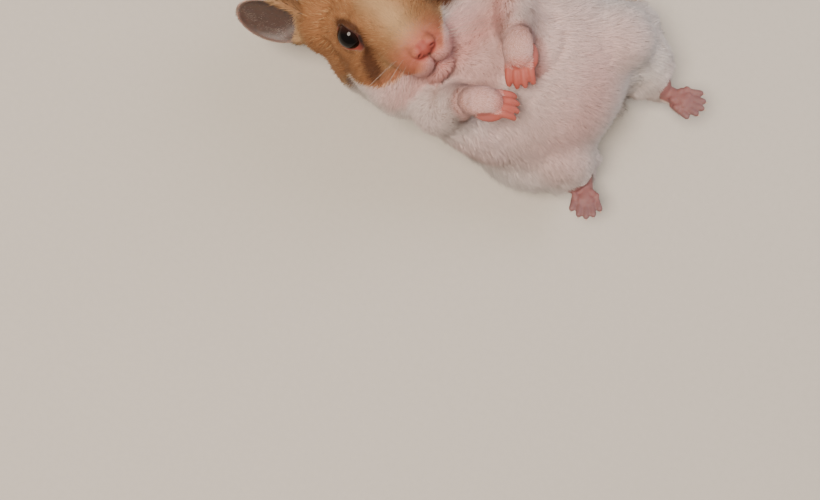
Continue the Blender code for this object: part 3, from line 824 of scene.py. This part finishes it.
# A tuft's points are its root, the three of its ring, and its tip.
TUFT_TRIANGLES = np.array([[0, 2, 1], [0, 3, 2], [0, 1, 3], [4, 1, 2], [4, 2, 3], [4, 3, 1]])
TUFT_SPOTS = np.array([[0.5, 0.0], [0.0, 0.5], [0.5, 0.6], [1.0, 0.5], [0.5, 1.0]]) - 0.5
TUFT_PATCH = 0.003  # of the map's width


def unwrapped(roots, centre):
    """Where each root lies on a flat map of the skin: directions from the centre go to a disc that keeps
    areas, times the root of 2 / (1 + cosine of the angle from the middle one), stretched to fill the map."""
    d = unit(roots - centre)
    axis = unit(d.mean(0))
    east = unit(np.cross(axis, [0.31, 0.2, 0.93]))
    disc = np.sqrt(2 / (1.0001 + d @ axis))[:, None] * np.stack([d @ east, d @ np.cross(axis, east)], -1)
    low, high = disc.min(0), disc.max(0)
    return 0.02 + 0.96 * (disc - low) / np.maximum(high - low, 1e-9)


def coat_piece(name, points, shade, shares, map_place, seed, slot):
    """One piece of coat: every tuft's points and triangles in one mesh, with the pattern, a chance number
    and the way along it on each tuft, and the map OFBake, on which a tuft is a small patch at its root."""
    chance = np.random.default_rng(seed)
    if len(points) > COAT_LIMIT:
        keep = np.sort(chance.permutation(len(points))[:COAT_LIMIT])
        points, shade, shares, map_place = points[keep], shade[keep], shares[keep], map_place[keep]
    count = len(points)
    triangles = (TUFT_TRIANGLES[None] + 5 * np.arange(count)[:, None, None]).reshape(-1, 3)
    piece = solid(name, points.reshape(-1, 3), triangles)
    mesh = piece.data
    mesh.normals_split_custom_set_from_vertices(shade.reshape(-1, 3))
    painted(mesh, np.repeat(shares, 5, axis=0))
    marked(mesh, "strand", np.repeat(chance.random(count), 5))
    marked(mesh, "along", np.tile([0.0, 0.45, 0.45, 0.45, 1.0], count))
    spot = (map_place[:, None] + TUFT_PATCH * TUFT_SPOTS[None]).reshape(-1, 2)[triangles.ravel()]
    mesh.uv_layers.new(name="OFBake").data.foreach_set("uv", spot.astype(np.float32).ravel())
    mesh.materials.append(fur)
    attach(piece, "root")


# Hamster fur: fine, matt and soft, a little shiny along the hair. White hairs are ivory, golden ones are
# grey at the root, golden brown along them and darker at some tips, and no two tufts are quite the same.
fur, shader, add = material("soft_hamster_fur")
place = add("TexCoord").outputs["Object"]
pattern = add("Attribute", {"attribute_name": "marking"})
share = add("SeparateColor", Color=pattern.outputs["Color"]).outputs
strand = add("Attribute", {"attribute_name": "strand"}).outputs["Fac"]
along = add("Attribute", {"attribute_name": "along"}).outputs["Fac"]
white = add("Mix", COLOURS, i0=along, i6=linear("#C5B6AE"), i7=linear("#E2D8D2")).outputs[2]
flush = add("Math", {"operation": "MULTIPLY"}, i0=share["Blue"], i1=0.8).outputs[0]
white = add("Mix", COLOURS, i0=flush, i6=white, i7=linear("#CC837A")).outputs[2]
body = add("MapRange", Value=along, From_Min=0.0, From_Max=0.45).outputs[0]
gold = add("Mix", COLOURS, i0=body, i6=linear("#4A3629"), i7=linear("#9C6C47")).outputs[2]
ticked = add("MapRange", Value=strand, From_Min=0.72, From_Max=0.92, To_Max=0.75).outputs[0]
ticked = add("Math", {"operation": "MULTIPLY"}, i0=ticked, i1=along).outputs[0]
gold = add("Mix", COLOURS, i0=ticked, i6=gold, i7=linear("#6E4526")).outputs[2]
pale = add("MapRange", Value=strand, From_Min=0.25, From_Max=0.05, To_Max=0.5).outputs[0]
gold = add("Mix", COLOURS, i0=pale, i6=gold, i7=linear("#D3A878")).outputs[2]
softer = add("MapRange", Value=strand, From_Min=0.9, From_Max=0.2, To_Min=0.6, To_Max=1.0).outputs[0]
softer = add("Math", {"operation": "MULTIPLY"}, i0=flush, i1=softer).outputs[0]
gold = add("Mix", COLOURS, i0=softer, i6=gold, i7=linear("#B25E50")).outputs[2]
cream = add("MapRange", Value=share["Red"], From_Max=0.55).outputs[0]
pale_gold = add("Mix", COLOURS, i0=flush, i6=linear("#D9B587"), i7=linear("#BF6E5C")).outputs[2]
tone = add("Mix", COLOURS, i0=cream, i6=white, i7=pale_gold).outputs[2]
full = add("MapRange", Value=share["Red"], From_Min=0.5).outputs[0]
tone = add("Mix", COLOURS, i0=full, i6=tone, i7=gold).outputs[2]
tone = add("Mix", COLOURS, i0=share["Green"], i6=tone, i7=linear("#54331F")).outputs[2]
drift = add("TexNoise", Vector=place, Scale=1 / (7 * MM), Detail=2.0).outputs["Fac"]
both = add("Math", {"operation": "ADD"}, i0=drift, i1=strand).outputs[0]
value = add("MapRange", Value=both, From_Min=0.3, From_Max=1.6, To_Min=0.82, To_Max=1.12).outputs[0]
tone = add("HueSaturation", Color=tone, Value=value).outputs[0]
add(shader, Base_Color=tone, Roughness=0.66, Specular_IOR_Level=0.2)


def in_depth(points):
    """How high the coat stands on the skin in mm: its depth, and much less from wrist and ankle out."""
    depth = coat_depth(points)
    for side in SIDES:
        for place, up in ((HANDS[side], "back"), (FEET[side], "sole")):
            x, y, z = in_paw(points, place, up).T
            near = 1 - ease(7, 10, np.sqrt(y**2 + z**2 + np.minimum(x, 0) ** 2))
            depth = np.minimum(depth, 0.34 + 3 * (1 - near) + 2.2 * (1 - ease(-5, 1, x)))
    return depth


def density(points):
    """Tufts to the square mm: more where they are short, fewer under the back, none on bare skin."""
    thick = 23.7 + 16.2 * (1 - ease(0.5, 1.6, in_depth(points)))
    thick = thick * (0.45 + 0.55 * ease(5, 16, points[:, 2] / MM))
    for side in SIDES:
        thick = thick * (1.7 - 0.7 * ease(4.2, 6.0, np.linalg.norm(points - eye_middle[side], axis=1) / MM))
    return thick * (1 - ease(0.35, 0.75, bareness(points)))


def in_ear(points, side):
    """How far each point is along an ear, from 0 at its root to 1 at its tip."""
    root, tip = mirrored(EAR_ROOT, side), mirrored(EAR_TIP, side)
    return (in_head(points) - root) @ (tip - root) / ((tip - root) @ (tip - root))


def ear_fur(points, side):
    """On an ear: the share of long golden crown hair, which climbs further up the edge nearer the other ear,
    and how many tufts grow to the square mm, with the down closer set towards the outer edge."""
    inner = (in_head(points) - mirrored(EAR_ROOT, side)) @ [0, -0.68 * SIDES[side], 0.71]
    up = in_ear(points, side) + 0.05 * ripple(points, 3, 9) - 0.34 * ease(0.0, 5.0, inner)
    long = 1 - ease(0.12, 0.42, up)
    down = 4 + 9 * ease(-3.5, 1.5, -inner) + 3 * ripple(points, 3.5, 8)
    return long, 22 * (1 - ease(0.16, 0.46, up)) + down


# The ears carry a fine pale down, thickest in the cup and along the edge, and their roots are buried in the
# long hair of the crown, which climbs a third of the way up them.
grown = []
for seed, side in enumerate(SIDES):
    roots, root_normals = rooted(*read(ears[side].data), lambda points: ear_fur(points, side)[1], 70 + seed)
    long = ear_fur(roots, side)[0]
    way = unit(mirrored(EAR_TIP - EAR_ROOT, side)) @ head_axes
    way = way - root_normals * (root_normals @ way)[:, None]
    way = unit(way + 0.25 * ripple(roots, 4, 10)[:, None] * head_axes[0])
    length = 0.6 + 2.7 * long
    rise = np.stack([0.25 + 0.3 * long, 0.1 + 0.25 * long], -1)
    shapes, shade = tufts(roots, root_normals, way, length, 0.08 + 0.12 * long, rise, 80 + seed)
    shares = np.stack([0.95 * long**0.6, 0.68 * (1 - long) + 0.1 * long, 0 * long, 0 * long], -1)
    spots = unwrapped(roots, nose + (mirrored(EAR_ROOT, side) - [6, 0, 0]) * MM @ head_axes)
    grown.append((shapes, shade, shares, spots * [0.48, 0.98] + [0.5 * seed + 0.01, 0.01]))
coat_piece("coat_ears", *[np.concatenate(parts) for parts in zip(*grown)], 90, "golden_coat")

# The coat of the skin is grown in one, and then cut into pieces along lines on the body, in mm.
roots, root_normals = rooted(skin_points, skin_normals, skin_triangles, density, 11)
depth = in_depth(roots)
way = lie(roots, root_normals)
length = LENGTH_PER_DEPTH * depth + 0.15
steep = 0.05 + 0.9 * depth / length
rise = np.stack([np.arcsin(np.clip(steep + 0.22, 0, 0.95)), np.arcsin(np.clip(steep - 0.2, 0, 0.9))], -1)
width = TUFT_WIDTH * (0.45 + 0.55 * ease(0.3, 2.2, depth))
coat_points, coat_shade = tufts(roots, root_normals, way, length, width, rise, 21)
shares = markings(roots)
f, l, u = in_head(roots).T
x, y, z = in_trunk(roots).T
on_head = from_skull(roots) < 23
limb_of = np.stack([near_limb(roots, which)[1] for which in LIMBS])
paw_of = np.stack(
    [np.linalg.norm(in_paw(roots, place[side], up) - [4, 0, 0], axis=1)
     for place, up in ((HANDS, "back"), (FEET, "sole")) for side in ("right", "left")]
)
limb_of = np.minimum(limb_of, paw_of)
on_limb = limb_of.min(0) < 7.5
regions = {
    "coat_forelimbs": on_limb & (x < 3),
    "coat_hind_limbs": on_limb & (x >= 3),
    "coat_face_right": ~on_limb & on_head & (f > -21) & (l <= 0),
    "coat_face_left": ~on_limb & on_head & (f > -21) & (l > 0),
    "coat_nape": ~on_limb & on_head & (f <= -21),
    "coat_breast": ~on_limb & ~on_head & (x < 2) & (z > -2),
    "coat_belly": ~on_limb & ~on_head & (x >= 2) & (z > 4),
    "coat_rump": ~on_limb & ~on_head & (x >= 2) & (z <= 4),
    "coat_back": ~on_limb & ~on_head & (x < 2) & (x >= -14) & (z <= -2),
    "coat_shoulders": ~on_limb & ~on_head & (x < -14) & (z <= -2),
}
for seed, (name, here) in enumerate(regions.items()):
    if "limbs" in name:
        nearest = limb_of[:, here].argmin(0)
        flat = np.zeros((here.sum(), 2))
        for i, (joint, _) in enumerate(LIMBS.values()):
            mine = nearest == i
            if mine.any():  # each limb has a quarter of the map
                corner = np.array([0.01 + 0.5 * (i % 2), 0.01 + 0.5 * (i // 2)])
                flat[mine] = unwrapped(roots[here][mine], np.array(joint) * MM) * 0.48 + corner
        slot = "white_coat"
    elif "face" in name or "nape" in name:
        flat, slot = unwrapped(roots[here], nose + HEAD_MIDDLE * MM * head_axes[0]), "golden_coat"
    else:
        flat, slot = unwrapped(roots[here], trunk_at), "white_coat"
    coat_piece(name, coat_points[here], coat_shade[here], shares[here], flat, 31 + seed, slot)


# ---- Eyes ----
# Each eye is a black bead of an eyeball, wet and clear at the front, where it bulges a little. The iris is
# so dark a brown that it hardly shows against the pupil.

# Cornea over iris: wet and clear, so it takes one small sharp highlight, over a brown that is almost black.
eyeball, shader, add = material("wet_dark_eye")
gaze = add("Attribute", {"attribute_name": "gaze"}).outputs["Fac"]
iris = add("MapRange", Value=gaze, From_Min=0.45, From_Max=0.8).outputs[0]
tone = add("Mix", COLOURS, i0=iris, i6=linear("#0B0706"), i7=linear("#2E1710")).outputs[2]
add(shader, Base_Color=tone, Roughness=0.1, Coat_Weight=0.15, Coat_Roughness=0.03, IOR=1.2)
for side in SIDES:
    points, triangles = ball((0, 0, 0), (1, 1, 1), around=64, rings=44)
    turn = np.degrees(np.arccos(np.clip(points[:, 2], -1, 1)))
    bulge = 1 + 0.035 * hump(turn, 0, 38)
    axes = axes_of(head_axes[2], unit(mirrored(EYE_AIM, side) @ head_axes))
    shape = placed((points * (EYE_RADIUS * bulge)[:, None], triangles), eye_middle[side], axes)
    piece = solid(f"eyeball_{side}", *shape)
    marked(piece.data, "gaze", (turn / 90).clip(0, 1))
    piece.data.materials.append(eyeball)
    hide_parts(f"eye_{side}")
    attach(piece, "root")


# ---- Claws ----
# Every digit ends in a small curved claw of horn that grows from a fold of skin over its tip. It is round in
# section, thickest at its root, and bends down to a point.

# Claw horn: clear and pale like a thin fingernail, so it is rosy at the root and gleams a little.
horn, shader, add = material("pale_claw_horn")
along = add("Attribute", {"attribute_name": "along"}).outputs["Fac"]
tone = add("Mix", COLOURS, i0=along, i6=linear("#B98F80"), i7=linear("#D9C4B0")).outputs[2]
add(shader, Base_Color=tone, Roughness=0.3, Subsurface_Weight=0.3, Subsurface_Scale=0.3 * MM)
for name, paws, paths, up, reach in (
    ("fore_claws", HANDS, fingers(), "back", 1.3),
    ("hind_claws", FEET, toes(), "sole", 1.4),
):
    top = np.array([0, 0, 1.0 if up == "back" else -1.0])
    shapes = []
    for place in paws.values():
        for path in paths:
            out = unit(path[-1] - path[-2])
            start = path[-1] + top * 0.28 - out * 0.2
            bend = ((0, 0), (0.45, 0.04), (0.8, -0.12), (1, -0.42))  # share of the reach, and mm up
            line = [start + out * reach * share + top * rise for share, rise in bend]
            shape = limb(line, [0.27, 0.24, 0.14, 0.03], around=8, up=(0.1, 0.2, 1))
            shapes.append(at_paw(shape, place, up))
    piece = solid(name, *joined(*shapes))
    count = len(shapes[0][0])
    marked(piece.data, "along", np.tile(np.arange(count) / count, len(shapes)))
    piece.data.materials.append(horn)
    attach(piece, "root")


# ---- Whiskers ----
# Long stiff hairs stand out from the pads beside the nose, in four rows, longest at the back. Each is a
# fine pale bristle that tapers from its root to nothing and bends back a little.

# Whisker hair: stiff, smooth and pale, darker in places, with a fine gleam along it.
bristle, shader, add = material("fine_pale_bristle")
place = add("TexCoord").outputs["Object"]
tint = add("TexNoise", Vector=place, Scale=1 / (6 * MM), Detail=1.0).outputs["Fac"]
tone = add("Mix", COLOURS, i0=tint, i6=linear("#8C7A6C"), i7=linear("#CDBFB0")).outputs[2]
add(shader, Base_Color=tone, Roughness=0.3)
chance = np.random.default_rng(5)
shapes = []
for sign in SIDES.values():
    for row in range(4):
        for back in range(3):
            root = np.array([-3.8 - 1.4 * back, (3.6 + 0.55 * back) * sign, -0.4 - 0.85 * row])
            root = root + chance.normal(0, 0.12, 3)
            out = np.array([0.62 - 0.14 * back, 0.9 * sign, 0.05 - 0.2 * row])
            out = unit(out + chance.normal(0, 0.08, 3))
            reach = 11 + 3.2 * back + chance.uniform(-1.5, 2.5)
            bend = np.array([-0.20, 0, -0.10]) * reach * chance.uniform(0.5, 1.4)
            line = [
                root - out * 1.2, root + out * reach * 0.33,
                root + out * reach * 0.67 + bend * 0.35, root + out * reach + bend,
            ]
            hair = limb(line, [0.024, 0.021, 0.015, 0.006], around=5, up=(0.2, 0.1, 1))
            shapes.append(placed(hair, nose, head_axes))
whiskers = solid("whiskers", *joined(*shapes))
whiskers.data.materials.append(bristle)
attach(whiskers, "root")


# ---- Floor, light and camera ----
# The floor is a plain pale board, lit as by a large window over it and a little by the whole room. The
# camera looks almost straight down from above the animal's right side.
FLOOR_HALF = 3.0  # m
corners = np.array([[-1, -1, 0], [1, -1, 0], [1, 1, 0], [-1, 1, 0]]) * FLOOR_HALF
floor = solid("floor", corners, np.array([[0, 1, 2], [0, 2, 3]]))

# Matt paint: warm grey white without any shine, and with only a faint grain.
paint, shader, add = material("matt_pale_paint")
place = add("TexCoord").outputs["Object"]
grain = add("TexNoise", Vector=place, Scale=1 / (1.5 * MM), Detail=3.0).outputs["Fac"]
tone = add("Mix", COLOURS, i0=grain, i6=linear("#BDB6AB"), i7=linear("#C4BDB2")).outputs[2]
add(shader, Base_Color=tone, Roughness=0.8)
add(shader, Normal=add("Bump", Strength=0.1, Distance=0.1 * MM, Height=grain).outputs["Normal"])
floor.data.materials.append(paint)


def soft_light(name, at, look, size, power, tint):
    """A round area light of this size in metres at a place, facing the place it looks at."""
    lamp = bpy.data.lights.new(name, "AREA")
    lamp.shape = "DISK"
    lamp.size, lamp.energy, lamp.color = size, power, linear(tint)[:3]
    obj = bpy.data.objects.new(name, lamp)
    obj.location = at
    obj.rotation_euler = (Vector(look) - Vector(at)).to_track_quat("-Z", "Y").to_euler()
    bpy.context.scene.collection.objects.link(obj)


soft_light("window", (-0.20, -0.24, 0.95), (0, 0, 0.02), 0.45, 14.0, "#FFF0E2")
soft_light("room_side", (0.45, 0.5, 0.5), (0, 0, 0.02), 0.5, 3.0, "#F7F5FF")
world = bpy.data.worlds.new("room")
bpy.context.scene.world = world
world.use_nodes = True
sky = world.node_tree.nodes["Background"].inputs
sky["Color"].default_value, sky["Strength"].default_value = linear("#E6E2DC"), 0.45

CAMERA_AT = (7.16, -59.36, 248.63)  # mm
CAMERA_AZIMUTH, CAMERA_ELEVATION = math.radians(23.5), math.radians(88)
LENS = 43.42  # mm
a, e = CAMERA_AZIMUTH, CAMERA_ELEVATION
back = Vector((math.sin(a) * math.cos(e), -math.cos(a) * math.cos(e), math.sin(e)))
right = Vector((math.cos(a), math.sin(a), 0))
pose = Matrix((right, back.cross(right), back)).transposed().to_4x4()
pose.translation = Vector(CAMERA_AT) * MM
lens = bpy.data.cameras.new("camera")
lens.lens, lens.sensor_width, lens.clip_start = LENS, 36, 0.01
camera = bpy.data.objects.new("camera", lens)
camera.matrix_world = pose
bpy.context.scene.collection.objects.link(camera)
bpy.context.scene.camera = camera
